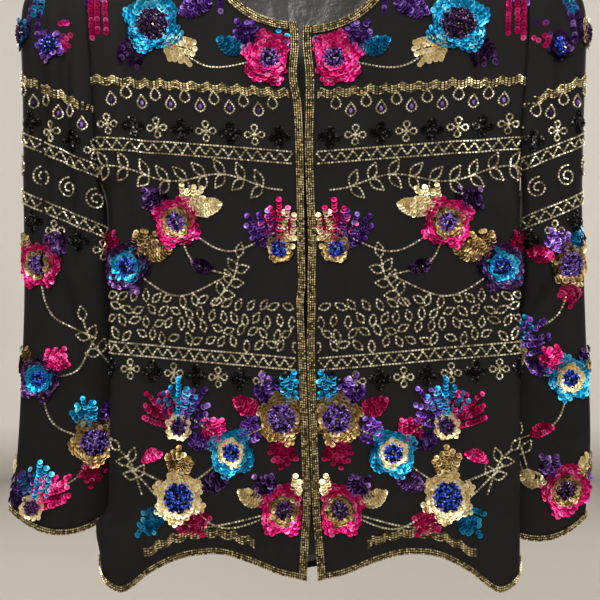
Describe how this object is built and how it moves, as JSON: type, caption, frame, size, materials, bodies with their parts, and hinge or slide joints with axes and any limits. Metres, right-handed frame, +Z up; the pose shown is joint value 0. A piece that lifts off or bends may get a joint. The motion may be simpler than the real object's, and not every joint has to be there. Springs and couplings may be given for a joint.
{
  "type": "beaded evening jacket on a coat hanger",
  "caption": "Collarless open-front evening jacket with long sleeves, scalloped hem and beaded edgings, hanging on a plain coat hanger.",
  "frame": {"origin": "underside of the hanger's hook, where it rests on its rail", "axes": "+Z up, the jacket's front faces -Y, +X towards the viewer's right"},
  "size_m": [0.6725, 0.0784, 0.8201],
  "materials": {
    "crepe": "charcoal crepe with a soft sheen",
    "lining": "crinkled shiny lining",
    "gold_beads": "rows of gold-lined glass beads",
    "sequins": "cupped shiny sequins in several colours",
    "wood": "varnished beech",
    "steel": "plated wire"
  },
  "bodies": {
    "root": {"front_left": "crepe", "front_right": "crepe", "back": "crepe", "sleeve_left": "crepe", "sleeve_right": "crepe", "back_lining": "lining", "front_edging_left": "gold_beads", "front_edging_right": "gold_beads", "neck_edging_left": "gold_beads", "neck_edging_right": "gold_beads", "neck_edging_back": "gold_beads", "hem_edging_left": "gold_beads", "hem_edging_right": "gold_beads", "hem_edging_back": "gold_beads", "cuff_edging_left": "gold_beads", "cuff_edging_right": "gold_beads", "hanger_bar": "wood", "hanger_hook": "steel"}
  },
  "joints": []
}
